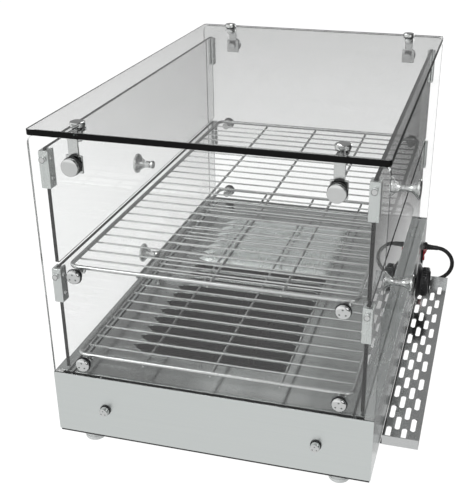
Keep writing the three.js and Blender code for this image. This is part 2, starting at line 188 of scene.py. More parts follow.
def turned(name, profile, place, axis="+z", sides=32):
    """a turned piece: (radius, distance) steps along its axis from the point place"""
    deselect()
    radius, distance = profile[0]
    bpy.ops.mesh.primitive_circle_add(vertices=sides, radius=radius * MM, fill_type="NGON",
                                      location=(0, 0, distance * MM))
    obj = added(name)
    edit(obj)
    for r, d in profile[1:]:
        bpy.ops.mesh.extrude_region_move(TRANSFORM_OT_translate={"value": (0, 0, (d - distance) * MM)})
        if r != radius:
            bpy.ops.transform.resize(value=(r / radius, r / radius, 1), center_override=(0, 0, d * MM))
        radius, distance = r, d
    bpy.ops.mesh.select_all(action="SELECT")
    bpy.ops.mesh.normals_make_consistent(inside=False)
    leave()
    obj.data.transform(Matrix.Translation(at(*place)) @ AXIS_TURN[axis])
    return smooth(obj)


def twin(obj, name, move=Matrix.Identity(4)):
    """a copy with its own mesh, moved or mirrored"""
    other = obj.copy()
    other.data = obj.data.copy()
    other.name = other.data.name = name
    bpy.context.scene.collection.objects.link(other)
    other.data.transform(move)
    if move.determinant() < 0:
        other.data.flip_normals()
    return other


def mirrored(end, side):
    """from the far customer corner to the corner at that end and side"""
    middle = Matrix.Translation((0, MIDDLE_Y, 0))
    return middle @ Matrix.Diagonal((end, side, 1, 1)) @ middle.inverted()


def corners():
    """each corner of the case by name, with the move there from the far customer corner"""
    for end, end_sign in ENDS.items():
        for side, side_sign in SIDES.items():
            yield f"{end}_{side}", mirrored(end_sign, side_sign)


def shifted(x=0, y=0, z=0):
    return Matrix.Translation((x * MM, y * MM, z * MM))


def thrown_away(*patterns):
    """takes away pieces that were only there to be copied"""
    for obj in patterns:
        bpy.data.objects.remove(obj)


def joined(name, pieces):
    choose(*pieces)
    bpy.ops.object.join()
    obj = bpy.context.active_object
    obj.name = obj.data.name = name
    return obj


def cut_by(obj, tools):
    """cuts the tools out of obj and takes the tools away"""
    for tool in tools:
        choose(obj)
        hole = obj.modifiers.new("hole", "BOOLEAN")
        hole.operation, hole.object, hole.solver = "DIFFERENCE", tool, "EXACT"
        bpy.ops.object.modifier_apply(modifier="hole")
        bpy.data.objects.remove(tool)
    return obj


def copy_of_node(node, name):
    """a copy of a CAD node with its doubles merged and its flat faces made whole"""
    source = frame["nodes"][node]
    obj = source.copy()
    obj.data = source.data.copy()
    obj.name = obj.data.name = name
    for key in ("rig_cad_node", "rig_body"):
        del obj[key]
    obj.parent = None
    bpy.context.scene.collection.objects.link(obj)
    edit(obj)
    bpy.ops.mesh.remove_doubles(threshold=0.005 * MM)
    bpy.ops.mesh.dissolve_limited(angle_limit=math.radians(0.5))
    bpy.ops.mesh.normals_make_consistent(inside=False)
    leave()
    return obj


def finish_piece(obj, material, body="case", stands_for=()):
    """gives a piece its material and the body it moves with, and hides the CAD parts it stands for"""
    obj.data.materials.clear()
    for m in material if isinstance(material, (list, tuple)) else [material]:
        obj.data.materials.append(m)
    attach(obj, body)
    if stands_for:
        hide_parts(*([stands_for] if isinstance(stands_for, str) else stands_for))
    return obj


# ---- finishes ----
GRAIN_DEPTH, PORE_DEPTH = 0.0002, 0.0001


def group(name, inputs, outputs):
    tree = bpy.data.node_groups.new(name, "ShaderNodeTree")
    for socket, kind, value in inputs:
        made = tree.interface.new_socket(socket, in_out="INPUT", socket_type=kind)
        if value is not None:
            made.default_value = value
    for socket, kind in outputs:
        tree.interface.new_socket(socket, in_out="OUTPUT", socket_type=kind)
    return tree, tree.nodes.new("NodeGroupInput"), tree.nodes.new("NodeGroupOutput")


def node(tree, kind, **settings):
    made = tree.nodes.new(kind)
    for key, value in settings.items():
        if key in made.inputs:
            made.inputs[key].default_value = value
        else:
            setattr(made, key, value)
    return made


def ramp(tree, low, high, source):
    """0 below low and 1 above high, smoothly"""
    made = node(tree, "ShaderNodeMapRange", interpolation_type="SMOOTHSTEP")
    made.inputs["From Min"].default_value = low
    made.inputs["From Max"].default_value = high
    tree.links.new(source, made.inputs["Value"])
    return made.outputs["Result"]


def grain_group():
    """long fine scratches of a brushed face: the vector comes in already drawn out along them"""
    tree, source, result = group("brushed_grain", [("Vector", "NodeSocketVector", None)],
                                 [("Grain", "NodeSocketFloat")])
    fine = node(tree, "ShaderNodeTexNoise", Scale=1.0, Detail=3.0, Roughness=0.65)
    wide = node(tree, "ShaderNodeTexNoise", Scale=0.17, Detail=2.0, Roughness=0.5)
    mix = node(tree, "ShaderNodeMath", operation="MULTIPLY_ADD")
    mix.inputs[1].default_value = 0.4
    half = node(tree, "ShaderNodeMath", operation="MULTIPLY")
    half.inputs[1].default_value = 0.6
    for n in (fine, wide):
        tree.links.new(source.outputs["Vector"], n.inputs["Vector"])
    tree.links.new(fine.outputs["Fac"], half.inputs[0])
    tree.links.new(wide.outputs["Fac"], mix.inputs[0])
    tree.links.new(half.outputs[0], mix.inputs[2])
    tree.links.new(mix.outputs[0], result.inputs["Grain"])
    return tree


def marks_group():
    """soft patches of wiping and finger marks, and fine dust"""
    tree, source, result = group("wiping_marks", [("Vector", "NodeSocketVector", None),
                                                  ("Size", "NodeSocketFloat", 14.0)],
                                 [("Marks", "NodeSocketFloat"), ("Dust", "NodeSocketFloat")])
    cloud = node(tree, "ShaderNodeTexNoise", Detail=4.0, Roughness=0.6, Distortion=0.8)
    speck = node(tree, "ShaderNodeTexNoise", Scale=900.0, Detail=1.0)
    tree.links.new(source.outputs["Vector"], cloud.inputs["Vector"])
    tree.links.new(source.outputs["Size"], cloud.inputs["Scale"])
    tree.links.new(source.outputs["Vector"], speck.inputs["Vector"])
    tree.links.new(ramp(tree, 0.42, 0.72, cloud.outputs["Fac"]), result.inputs["Marks"])
    tree.links.new(ramp(tree, 0.62, 0.74, speck.outputs["Fac"]), result.inputs["Dust"])
    return tree


GRAIN, MARKS = grain_group(), marks_group()


def material(name):
    made = bpy.data.materials.new(name)
    made.use_nodes = True
    tree = made.node_tree
    return made, tree, tree.nodes["Principled BSDF"]


def placed(tree, drawn=(1, 1, 1)):
    """object coordinates, drawn out by scales along the axes"""
    coords = node(tree, "ShaderNodeTexCoord")
    mapping = node(tree, "ShaderNodeMapping", Scale=drawn)
    tree.links.new(coords.outputs["Object"], mapping.inputs["Vector"])
    return mapping.outputs["Vector"]


def use_group(tree, kind, vector):
    made = node(tree, "ShaderNodeGroup", node_tree=kind)
    tree.links.new(vector, made.inputs["Vector"])
    return made


def blended(tree, factor, dark, light):
    made = node(tree, "ShaderNodeMix", data_type="RGBA")
    for socket, value in zip([s for s in made.inputs if s.name in ("A", "B") and s.type == "RGBA"],
                             ((*dark, 1), (*light, 1))):
        socket.default_value = value
    tree.links.new(factor, made.inputs[0])
    return [s for s in made.outputs if s.type == "RGBA"][0]


def between(tree, factor, low, high):
    made = node(tree, "ShaderNodeMapRange")
    made.inputs["To Min"].default_value = low
    made.inputs["To Max"].default_value = high
    tree.links.new(factor, made.inputs["Value"])
    return made.outputs["Result"]


def metal(name, dark, light, rough, drawn=(60, 60, 60), bump=0.05, marks=0.05):
    """bare metal: colour, gloss and relief change along its grain, and wiping marks dull it here and there"""
    made, tree, shader = material(name)
    shader.inputs["Metallic"].default_value = 1.0
    grain = use_group(tree, GRAIN, placed(tree, drawn)).outputs["Grain"]
    wiped = use_group(tree, MARKS, placed(tree))
    tree.links.new(blended(tree, grain, dark, light), shader.inputs["Base Color"])
    gloss = between(tree, grain, rough[0], rough[1])
    dulled = node(tree, "ShaderNodeMath", operation="MULTIPLY_ADD")
    dulled.inputs[1].default_value = marks
    tree.links.new(wiped.outputs["Marks"], dulled.inputs[0])
    tree.links.new(gloss, dulled.inputs[2])
    tree.links.new(dulled.outputs[0], shader.inputs["Roughness"])
    relief = node(tree, "ShaderNodeBump", Strength=bump, Distance=GRAIN_DEPTH)
    tree.links.new(grain, relief.inputs["Height"])
    tree.links.new(relief.outputs["Normal"], shader.inputs["Normal"])
    return made


def moulded(name, dark, light, rough, texture=700.0, bump=0.25):
    """a moulded plastic or rubber face with a fine texture and wiping marks"""
    made, tree, shader = material(name)
    place = placed(tree)
    wiped = use_group(tree, MARKS, place)
    pores = node(tree, "ShaderNodeTexNoise", Scale=texture, Detail=2.0)
    tree.links.new(place, pores.inputs["Vector"])
    tree.links.new(blended(tree, wiped.outputs["Marks"], dark, light), shader.inputs["Base Color"])
    tree.links.new(between(tree, wiped.outputs["Marks"], rough[0], rough[1]), shader.inputs["Roughness"])
    relief = node(tree, "ShaderNodeBump", Strength=bump, Distance=PORE_DEPTH)
    tree.links.new(pores.outputs["Fac"], relief.inputs["Height"])
    tree.links.new(relief.outputs["Normal"], shader.inputs["Normal"])
    return made


def glass(name, tint, roughness=0.0, ior=1.5):
    """clear glass that lets lamps through to what is behind it"""
    made, tree, shader = material(name)
    shader.inputs["Transmission Weight"].default_value = 1.0
    shader.inputs["IOR"].default_value = ior
    shader.inputs["Roughness"].default_value = roughness
    wiped = use_group(tree, MARKS, placed(tree))
    tree.links.new(blended(tree, wiped.outputs["Marks"], tint, [min(1, 1.01 * c) for c in tint]),
                   shader.inputs["Base Color"])
    clear = node(tree, "ShaderNodeBsdfTransparent")
    clear.inputs["Color"].default_value = (*[c ** 0.5 for c in tint], 1)
    path = node(tree, "ShaderNodeLightPath")
    mix = node(tree, "ShaderNodeMixShader")
    tree.links.new(path.outputs["Is Shadow Ray"], mix.inputs["Fac"])
    tree.links.new(shader.outputs["BSDF"], mix.inputs[1])
    tree.links.new(clear.outputs["BSDF"], mix.inputs[2])
    tree.links.new(mix.outputs["Shader"], tree.nodes["Material Output"].inputs["Surface"])
    return made


BRUSHED_X = metal("brushed_steel_lengthwise", (0.56, 0.58, 0.575), (0.66, 0.685, 0.68), (0.2, 0.3),
                  (6, 1500, 1500), 0.02, 0.04)
BRUSHED_END = metal("brushed_steel_crosswise", (0.6, 0.63, 0.62), (0.68, 0.71, 0.7), (0.26, 0.36),
                    (1500, 6, 1500), 0.02, 0.04)
DECK_STEEL = metal("satin_deck_steel", (0.4, 0.415, 0.41), (0.5, 0.515, 0.51), (0.1, 0.17),
                   (6, 1200, 1200), 0.015, 0.06)
# a lighter copy of the deck steel for the backs of the reversed louvres: painted sheen for the light they catch
LOUVRE_STEEL_PAINTED_SHEEN = metal("louvre_steel_painted_sheen", (0.54, 0.57, 0.56), (0.64, 0.67, 0.66), (0.22, 0.3),
                     (6, 1200, 1200), 0.015, 0.04)
# near-black painted shade for the insides of the louvres, seen in their open mouths
LOUVRE_INSIDE_PAINTED_SHADE = metal("louvre_inside_painted_shade", (0.045, 0.045, 0.046), (0.075, 0.074, 0.072), (0.45, 0.6),
                    (80, 80, 80), 0.1, 0.1)
POLISHED = metal("polished_steel", (0.58, 0.59, 0.585), (0.68, 0.69, 0.685), (0.07, 0.14),
                 (90, 90, 90), 0.02, 0.08)
SATIN_BLOCK = metal("satin_clamp_steel", (0.56, 0.585, 0.575), (0.66, 0.685, 0.675), (0.22, 0.32),
                    (1200, 1200, 10), 0.05, 0.06)
SHELF_STEEL = metal("polished_sheet", (0.54, 0.55, 0.55), (0.64, 0.65, 0.65), (0.1, 0.18),
                    (8, 1300, 1300), 0.015, 0.06)
WIRE = metal("bright_plated_wire", (0.46, 0.47, 0.465), (0.6, 0.61, 0.605), (0.1, 0.18),
             (200, 200, 200), 0.04, 0.1)
HEATER = metal("blued_heater_sheath", (0.06, 0.052, 0.05), (0.13, 0.115, 0.105), (0.4, 0.6),
               (120, 120, 120), 0.2, 0.1)
# black enamel for the base's floor plate and the scale's ticks, and painted shadow for the strip by the shelf
BLACK_ENAMEL_AND_PAINTED_SHADOW = moulded("black_enamel_and_painted_shadow", (0.012, 0.012, 0.013), (0.022, 0.022, 0.023), (0.35, 0.5), 300, 0.15)
BLACK_PLASTIC = moulded("black_moulding", (0.010, 0.010, 0.011), (0.018, 0.018, 0.02), (0.28, 0.42), 900)
WASHER = moulded("black_washer", (0.008, 0.008, 0.009), (0.014, 0.014, 0.015), (0.4, 0.55), 600)
FOOT_RUBBER = moulded("cloudy_clear_rubber", (0.56, 0.58, 0.575), (0.66, 0.68, 0.675), (0.4, 0.55), 500, 0.1)
CORD_RUBBER = moulded("cord_sheath", (0.009, 0.009, 0.009), (0.016, 0.016, 0.017), (0.35, 0.5), 1200, 0.15)
RED = moulded("red_rocker", (0.42, 0.004, 0.012), (0.5, 0.008, 0.016), (0.12, 0.2), 500, 0.08)
WHITE_MARK = moulded("white_marking", (0.75, 0.75, 0.74), (0.82, 0.82, 0.81), (0.4, 0.5), 600, 0.1)
CLEAR = glass("clear_glass", (0.988, 0.994, 0.991))
# near-black tint and weak mirroring for the edges of the top glass and the flap panes: painted shade for how
# dark these polished edges look
EDGE_PAINTED_DARK = glass("polished_glass_edge_painted_dark", (0.004, 0.006, 0.0055), 0.04, 1.25)
EDGE_PALE = glass("ground_glass_edge_pale", (0.3, 0.34, 0.33), 0.2)


# ---- cord: it lies where its CAD solids are ----
CORD_POINTS = [
    (242, -195.6, 52), (242, -199.6, 51.6), (242, -205, 50), (242, -212.3, 44.8), (241.8, -217.6, 36.9),
    (241.4, -219.5, 27.5), (240.6, -217.6, 18.1), (239, -212.3, 10.2), (236.8, -204.4, 4.9),
    (234, -195, 3), (229, -180, 3), (224, -164, 3), (220, -146, 3), (218, -126, 3), (219, -104, 3),
    (224, -83, 3), (234, -64, 3), (250, -48, 3), (270, -39, 3), (289, -36.2, 3), (306.6, -36, 3),
]
CORD_RADIUS = 3
GLAND_X, GLAND_Z = 242, 52
COIL_X, COIL_INNER, COIL_OUTER = 330, 30, 36
COIL_TURNS, COIL_STEP = 4.25, 15
COIL_FOOT, COIL_MIDDLE, COIL_TOP = 3.05, 9.2, 15.2
PLUG_X, PLUG_Y, PIN_X = COIL_X + COIL_OUTER, 25.6, 9.5
# (from, to, radius after, height after): the degrees of winding over which the cord moves to its next lane
COIL_MOVES = [(290, 340, COIL_INNER, 3.1), (580, 630, COIL_INNER, COIL_MIDDLE),
              (870, 920, COIL_OUTER, COIL_MIDDLE), (1160, 1210, COIL_OUTER, COIL_TOP)]


def coil_points():
    """the loose coil: two lanes, one inside the other, laid in layers"""
    points = []
    for step in range(int(COIL_TURNS * 360 / COIL_STEP) + 1):
        wound = step * COIL_STEP
        radius, height = COIL_OUTER, COIL_FOOT
        for start, end, next_radius, next_height in COIL_MOVES:
            t = min(1, max(0, (wound - start) / (end - start)))
            t = t * t * (3 - 2 * t)
            radius += (next_radius - radius) * t
            height += (next_height - height) * t
        a = math.radians(wound - 90)
        points.append((COIL_X + radius * math.cos(a), radius * math.sin(a), height))
    return points


def power_cord():
    to_plug = [(PLUG_X, y, COIL_TOP) for y in (9, 18, 25.2)]
    points = [at(*p) for p in CORD_POINTS + coil_points() + to_plug]
    data = bpy.data.curves.new("power_cord_line", "CURVE")
    data.dimensions, data.bevel_depth, data.bevel_resolution = "3D", CORD_RADIUS * MM, 4
    data.resolution_u, data.use_fill_caps = 4, True
    line = data.splines.new("BEZIER")
    line.bezier_points.add(len(points) - 1)
    for knot, p in zip(line.bezier_points, points):
        knot.co = p
        knot.handle_left_type = knot.handle_right_type = "AUTO"
    cord = bpy.data.objects.new("power_cord_flex", data)
    bpy.context.scene.collection.objects.link(cord)
    data.materials.append(CORD_RUBBER)
    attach(cord, "case")
    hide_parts("power_cord", "cord_coil")
    return cord, points[0]


def cord_ends():
    """the ribbed sleeve where the cord leaves the case, and the plug it ends in"""
    sleeve = turned("cord_gland_sleeve", [
        (4.2, 0.5), (7, 0.5), (7.2, 1), (7.2, 4), (6.6, 5), (4.6, 5.6), (4.6, 7), (4.1, 7.3), (4.1, 8.4),
        (4.3, 8.6), (4.2, 10), (3.8, 10.3), (3.8, 11.4), (4, 11.6), (3.9, 13), (3.6, 13.3), (3.5, 20.9),
    ], (GLAND_X, -HALF_WIDTH, GLAND_Z), "-y", 28)
    finish_piece(sleeve, BLACK_PLASTIC, "case", "cord_gland")
    body = turned("plug_body", [
        (3.6, 0.3), (4.4, 1), (4.6, 6), (4.2, 6.6), (4.2, 8), (4.8, 8.6), (4.9, 13), (4.5, 13.6), (4.5, 15),
        (5.1, 15.6), (5.3, 22), (7, 26), (10, 30), (13, 33.5), (14.6, 37), (14.8, 44), (13.8, 45), (13.8, 46.6),
        (14.8, 47.6), (14.8, 50), (13.8, 51), (13.8, 52.6), (14.8, 53.6), (14.8, 59), (14.2, 61), (12.6, 62),
    ], (PLUG_X, PLUG_Y, COIL_TOP), "+y", 36)
    pins = [turned("pin", [(1.9, 61.5), (1.9, 71), (2.4, 71.2), (2.4, 79.4), (1.6, 81)],
                   (PLUG_X + x, PLUG_Y, COIL_TOP), "+y", 16) for x in (-PIN_X, PIN_X)]
    finish_piece(body, BLACK_PLASTIC, "case", "plug")
    prongs = finish_piece(joined("plug_pins", pins), POLISHED)
    return [sleeve, body, prongs]


add_camera()
flex, cord_exit = power_cord()
cord_ends()


# ---- base ----
def rounded_copy(node_name, name, width, material, segments=2):
    """a piece that keeps the shape of its CAD node, with its edges rounded"""
    obj = rounded(copy_of_node(node_name, name), width, segments)
    return finish_piece(obj, material, BODY_OF[node_name], node_name)


def by_facing(obj, axis, slot_index):
    """faces that look along axis, either way, take the material in that slot"""
    for face in obj.data.polygons:
        if abs(face.normal[axis]) > 0.7:
            face.material_index = slot_index


# louvres: the rows of the racks they lie under, and how far their mouths stand off those rows
LOUVRE_ROWS, FIRST_REVERSED = range(3, 21), 14
MOUTH_OFF, REVERSED_OFF = -7, 10
# a hood's section is an arc of an ellipse, from HOOD_START degrees up to its top, about HOOD_MIDDLE
HOOD_WIDE, HOOD_HIGH, HOOD_START, HOOD_MIDDLE = 26.4, 34.2, 50, 8
LOUVRE_POINT, LOUVRE_FULL, LOUVRE_BACK, LOUVRE_END = 115.5, 91, -58, -71
HOOD_SHEET = 0.8


def hood_arc(name):
    """the open arc that a louvre is drawn out from"""
    deselect()
    bpy.ops.mesh.primitive_circle_add(vertices=36, radius=1, fill_type="NOTHING", location=(0, 0, 0),
                                      rotation=(math.pi / 2, 0, 0))
    obj = added(name)
    shape = bmesh.new()
    shape.from_mesh(obj.data)
    lowest = math.sin(math.radians(HOOD_START - 1))
    spare = [v for v in shape.verts if v.co.x <= -0.01 or v.co.z <= lowest]
    bmesh.ops.delete(shape, geom=spare, context="VERTS")
    shape.to_mesh(obj.data)
    shape.free()
    down = Matrix.Translation((0, 0, -math.sin(math.radians(HOOD_START))))
    obj.data.transform(Matrix.Diagonal((HOOD_WIDE * MM, 1, HOOD_HIGH * MM, 1)) @ down)
    return obj


def louvre_steps():
    """(place, scale) along a louvre: from its point it widens to its full section, and its back is round"""
    steps = [(LOUVRE_POINT, 0.02)]
    for i in range(1, 7):
        t = i / 6
        steps.append((LOUVRE_POINT + (LOUVRE_FULL - LOUVRE_POINT) * t, 1 - (1 - t) ** 1.8))
    steps.append((LOUVRE_BACK, 1))
    for i in range(1, 5):
        a = math.radians(90 * i / 4)
        steps.append((LOUVRE_BACK + (LOUVRE_END - LOUVRE_BACK) * math.sin(a), max(0.04, math.cos(a))))
    return steps


def sized_about(y, scale):
    """sizes the selected section of a hood about the middle of its mouth"""
    bpy.ops.transform.resize(value=(scale, 1, scale), center_override=(HOOD_MIDDLE * MM, y * MM, 0))


def louvre(name, reverse):
    """one pressed louvre: an arched hood, open along its mouth, drawn out to a point at one end"""
    obj = hood_arc(name)
    steps = louvre_steps()
    edit(obj)
    bpy.ops.transform.translate(value=(0, LOUVRE_POINT * MM, 0))
    sized_about(*steps[0])
    for (y0, scale0), (y1, scale1) in zip(steps, steps[1:]):
        bpy.ops.mesh.extrude_region_move(TRANSFORM_OT_translate={"value": (0, (y1 - y0) * MM, 0)})
        sized_about(y1, scale1 / scale0)
    bpy.ops.mesh.select_all(action="SELECT")
    bpy.ops.mesh.normals_make_consistent(inside=False)
    leave()
    mesh = obj.data
    if sum(face.normal.z for face in mesh.polygons) < 0:
        mesh.flip_normals()
    choose(obj)
    wall = obj.modifiers.new("wall", "SOLIDIFY")
    wall.thickness, wall.offset, wall.material_offset = HOOD_SHEET * MM, -1, 1
    # a reversed hood's back takes the lighter copy of the deck steel, a painted sheen
    mesh.materials.append(LOUVRE_STEEL_PAINTED_SHEEN if reverse else DECK_STEEL)
    # the hood's inside takes the near-black painted shade
    mesh.materials.append(LOUVRE_INSIDE_PAINTED_SHADE)
    bpy.ops.object.modifier_apply(modifier="wall")
    turn = Matrix.Diagonal((-1, 1, 1, 1)) if reverse else Matrix.Identity(4)
    obj.data.transform(Matrix.Translation(at(0, 0, BASE_TOP)) @ turn)
    if reverse:
        obj.data.flip_normals()
    return smooth(obj, 50)


def deck():
    first = louvre("louvre", False)
    last = louvre("louvre_reversed", True)
    rows = []
    for row in LOUVRE_ROWS:
        pattern, off = (first, MOUTH_OFF) if row < FIRST_REVERSED else (last, REVERSED_OFF)
        rows.append(twin(pattern, "row", shifted(-RACK_X + row * BAY + off)))
    thrown_away(first, last)
    vents = joined("deck_louvres", rows)
    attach(vents, "case")
    rounded_copy("deck_plate", "deck_sheet", 0.4, DECK_STEEL)


def base():
    shell = rounded_copy("base_shell", "base_case", 1.3, [BRUSHED_X, BRUSHED_END], 3)
    by_facing(shell, 0, 1)
    rounded_copy("base_bottom_cover", "base_floor_plate", 0.4, BLACK_ENAMEL_AND_PAINTED_SHADOW)
    rounded_copy("heating_element", "heater_tube", 0.3, HEATER)
    feet = [(x, y) for x in (-FOOT_X, FOOT_X) for y in (-FOOT_Y, FOOT_Y)]
    for i, (x, y) in enumerate(feet, 1):
        foot = turned(f"foot_pad_{i}", [
            (7, 1.6), (7, 0.1), (9.8, 0), (11, 0.5), (11.6, 1.6), (11.6, 5), (10.9, 5.4), (10.9, 6.2),
            (11.8, 6.6), (12, 11.5), (11, 11.6),
        ], (x, y, 0))
        finish_piece(foot, FOOT_RUBBER, "case", f"foot_{i}")


# ---- fittings ----
def with_three_holes(obj, place, circle, hole, deep):
    """three small blind holes in a head that faces along +X, for a pin key"""
    x, y, z = place
    tools = []
    for i in range(3):
        a = math.radians(90 + 120 * i)
        tools.append(turned("hole", [(hole, -deep), (hole, 2)],
                            (x, y + circle * math.cos(a), z + circle * math.sin(a)), "+x", 12))
    return cut_by(obj, tools)


def rack_studs():
    face = GLASS_OUTER - GLASS_INNER
    place = (GLASS_INNER, STUD_Y, STUD_Z["lower"])
    inside = [(4.3, -14.5), (4.8, -14), (4.8, -12.2), (4.6, -11.6), (2.9, -11), (2.6, -10.4), (2.6, -5.6),
              (2.8, -5), (4.8, -4.2), (6.4, -1.2), (6.2, -0.5), (3.2, -0.3)]
    outside = [(3.2, 1), (7, 1), (7.7, 1.4), (7.8, 2.2), (7.3, 3.5), (6.2, 4.4), (4.6, 4.8), (1.4, 4.8)]
    head = turned("stud", inside + [(radius, face + step) for radius, step in outside], place, "+x", 40)
    with_three_holes(head, (place[0] + face + 4.8, place[1], place[2]), 3.6, 0.95, 2.6)
    smooth(head)
    ring = turned("ring", [(3.3, face + 0.02), (8.2, face + 0.02), (8.4, face + 0.2), (8.2, face + 0.95),
                           (3.3, face + 0.95)], place, "+x", 32)
    inner = turned("ring", [(3.3, -0.28), (6.8, -0.28), (6.8, -0.02), (3.3, -0.02)], place, "+x", 32)
    washers = joined("washers", [ring, inner])
    for level, z in STUD_Z.items():
        for corner, across in corners():
            move = across @ shifted(z=z - STUD_Z["lower"])
            name = f"{level}_{corner}"
            finish_piece(twin(head, f"stud_{name}", move), POLISHED, "case",
                         f"rack_stud_{name}")
            finish_piece(twin(washers, f"stud_washers_{name}", move), WASHER)
    thrown_away(head, washers)


def base_bolts():
    place = (HALF_LENGTH, BASE_BOLT_Y, BASE_BOLT_Z)
    head = turned("bolt", [(2.4, -6), (2.4, 1.6), (4.7, 1.7), (5.1, 2.1), (5.1, 6.2), (4.7, 7.1), (3.6, 7.5),
                           (1, 7.6)], place, "+x", 32)
    with_three_holes(head, (place[0] + 7.6, place[1], place[2]), 2.6, 0.75, 1.8)
    smooth(head)
    ring = turned("ring", [(2.5, 0.02), (5.8, 0.02), (6, 0.3), (6, 1.3), (5.7, 1.6), (2.5, 1.6)],
                  place, "+x", 32)
    for corner, across in corners():
        finish_piece(twin(head, f"base_bolt_{corner}", across), POLISHED)
        finish_piece(twin(ring, f"base_bolt_washer_{corner}", across), WASHER)
    thrown_away(head, ring)


def top_clamps():
    """an angle strap inside the case, held by a disc through the end glass and a cap through the top glass"""
    inner, under = GLASS_INNER - PAD_GAP, CASE_TOP - GLASS - PAD_GAP
    y0, thick, half, pad_half = CLAMP_Y, 3, 5.2, 8.5
    back = inner - thick
    pad = block("pad", back, inner, y0 - pad_half, y0 + pad_half, DISC_Z - 9, DISC_Z + 9, 0.7)
    strap = block("strap", back, inner, y0 - half, y0 + half, DISC_Z, under, 0.5)
    leg = block("leg", CAP_X - 8, inner, y0 - half, y0 + half, under - thick, under, 0.5)
    nut_profile = [(4.6, 0), (5.2, 0.5), (5.2, 3.2), (4.4, 4)]
    nut = turned("nut", nut_profile, (back, y0, DISC_Z), "-x", 6)
    nut_up = turned("nut", nut_profile, (CAP_X, y0, under - thick), "-z", 6)
    shank = turned("shank", [(3, inner - 1), (3, GLASS_OUTER + 2.6)], (0, y0, DISC_Z), "+x", 20)
    disc = turned("disc", [(5, 2.6), (8.4, 2.6), (8.9, 2.9), (9, 3.3), (9, 6.6), (8.7, 7.1), (8.1, 7.35),
                           (2, 7.4)], (GLASS_OUTER, y0, DISC_Z), "+x", 48)
    cap_shank = turned("shank", [(3, under - 1), (3, CASE_TOP + 1)], (CAP_X, y0, 0), "+z", 20)
    cap = turned("cap", [(5, 0.7), (6.9, 0.7), (7.4, 1.1), (7.5, 1.6), (7.5, 4.6), (7.1, 5.2), (6.2, 5.6),
                         (1.5, 5.6)], (CAP_X, y0, CASE_TOP), "+z", 48)
    steel = joined("steel", [pad, strap, leg, nut, nut_up, shank, disc, cap_shank, cap])
    washers = joined("washers", [
        turned("ring", [(3.2, 0.05), (9.2, 0.05), (9.5, 0.3), (9.5, 2.2), (9.2, 2.5), (3.2, 2.5)],
               (GLASS_OUTER, y0, DISC_Z), "+x", 48),
        turned("ring", [(3.2, 0.05), (7.1, 0.05), (7.1, 0.65), (3.2, 0.65)], (CAP_X, y0, CASE_TOP), "+z"),
        turned("ring", [(3.2, -0.35), (7.6, -0.35), (7.6, -0.05), (3.2, -0.05)],
               (GLASS_INNER, y0, DISC_Z), "+x"),
    ])
    for corner, across in corners():
        finish_piece(twin(steel, f"top_clamp_fitting_{corner}", across), POLISHED, "case",
                     f"top_clamp_{corner}")
        finish_piece(twin(washers, f"top_clamp_washers_{corner}", across), WASHER)
    thrown_away(steel, washers)


def hinge_pins():
    for node_name in [n for n in frame["nodes"] if n.startswith("hinge_pin_")]:
        rounded_copy(node_name, node_name.replace("hinge_pin", "pivot"), 0.3, POLISHED)


# ---- glass ----
def round_corners(obj, thin_axis, radius, wanted):
    """rounds the corners of a sheet: the edges through its thickness whose middle is wanted"""
    edit(obj)
    bpy.ops.mesh.select_all(action="DESELECT")
    mesh = bmesh.from_edit_mesh(obj.data)
    others = [axis for axis in range(3) if axis != thin_axis]
    low = [min(v.co[axis] for v in mesh.verts) for axis in range(3)]
    high = [max(v.co[axis] for v in mesh.verts) for axis in range(3)]
    for edge in mesh.edges:
        a, b = (v.co for v in edge.verts)
        through = all(abs(a[axis] - b[axis]) < 1e-5 for axis in others)
        corner = all(min(a[axis] - low[axis], high[axis] - a[axis]) < 1e-4 for axis in others)
        edge.select_set(through and corner and wanted((a + b) / 2))
    bmesh.update_edit_mesh(obj.data)
    bpy.ops.mesh.bevel(offset=radius * MM, segments=6, affect="EDGES")
    leave()


def pane(node_name, name, thin_axis, edge, body, corner, wanted=lambda middle: True):
    """a sheet of glass: clear faces, and edges in a material of their own"""
    obj = copy_of_node(node_name, name)
    round_corners(obj, thin_axis, corner, wanted)
    rounded(obj, 0.5, 2, flat=True)
    finish_piece(obj, [CLEAR, edge], body, node_name)
    for face in obj.data.polygons:
        face.material_index = 0 if abs(face.normal[thin_axis]) > 0.9 else 1


TOP_CORNER, END_CORNER, FLAP_CORNER = 4, 8, 1.5


def glass_case():
    pane("top_glass", "top_glass_pane", 2, EDGE_PAINTED_DARK, "case", TOP_CORNER)
    for end in ENDS:
        pane(f"end_glass_{end}", f"end_glass_pane_{end}", 0, EDGE_PALE, "case", END_CORNER,
             lambda middle: middle.z > PIVOT_Z["lower"] * MM)


# ---- flaps ----
def flap_knob():
    """a trumpet pull: a round nut inside the pane, and outside it a stem that flares to a thick disc"""
    out = PANE / 2
    stem, flare, reach, steps = 4.2, 7.9, 15, 10
    profile = [(2.4, -out - 3.4), (4.6, -out - 3.4), (5, -out - 3), (5, -out - 0.5), (2.2, -out - 0.5),
               (2.2, out + 0.5), (stem, out + 0.5)]
    profile += [(stem + flare * (i / steps) ** 3, out + 0.5 + reach * i / steps) for i in range(1, steps + 1)]
    profile += [(12.5, out + 16.2), (12.5, out + 17.6), (12.1, out + 18.3), (11.2, out + 18.8), (1.5, out + 19)]
    return turned("knob", profile, (0, PANE_Y, KNOB_Z["lower"]), "+y", 48)


def flap_screws():
    """the two screws in the inner side of a hinge clamp"""
    inside, inward, drop = 5, 6.2, 21
    x = GLASS_INNER - PAD_GAP - inward
    heads = []
    for z in (PIVOT_Z["lower"], PIVOT_Z["lower"] - drop):
        place = (x, PANE_Y - inside, z)
        head = turned("screw", [(2.6, -0.6), (2.6, 0.5), (2.3, 1), (1.2, 1.15)], place, "-y", 24)
        socket = turned("socket", [(1.15, 0.3), (1.15, 2)], place, "-y", 6)
        heads.append(cut_by(head, [socket]))
    return joined("screws", heads)


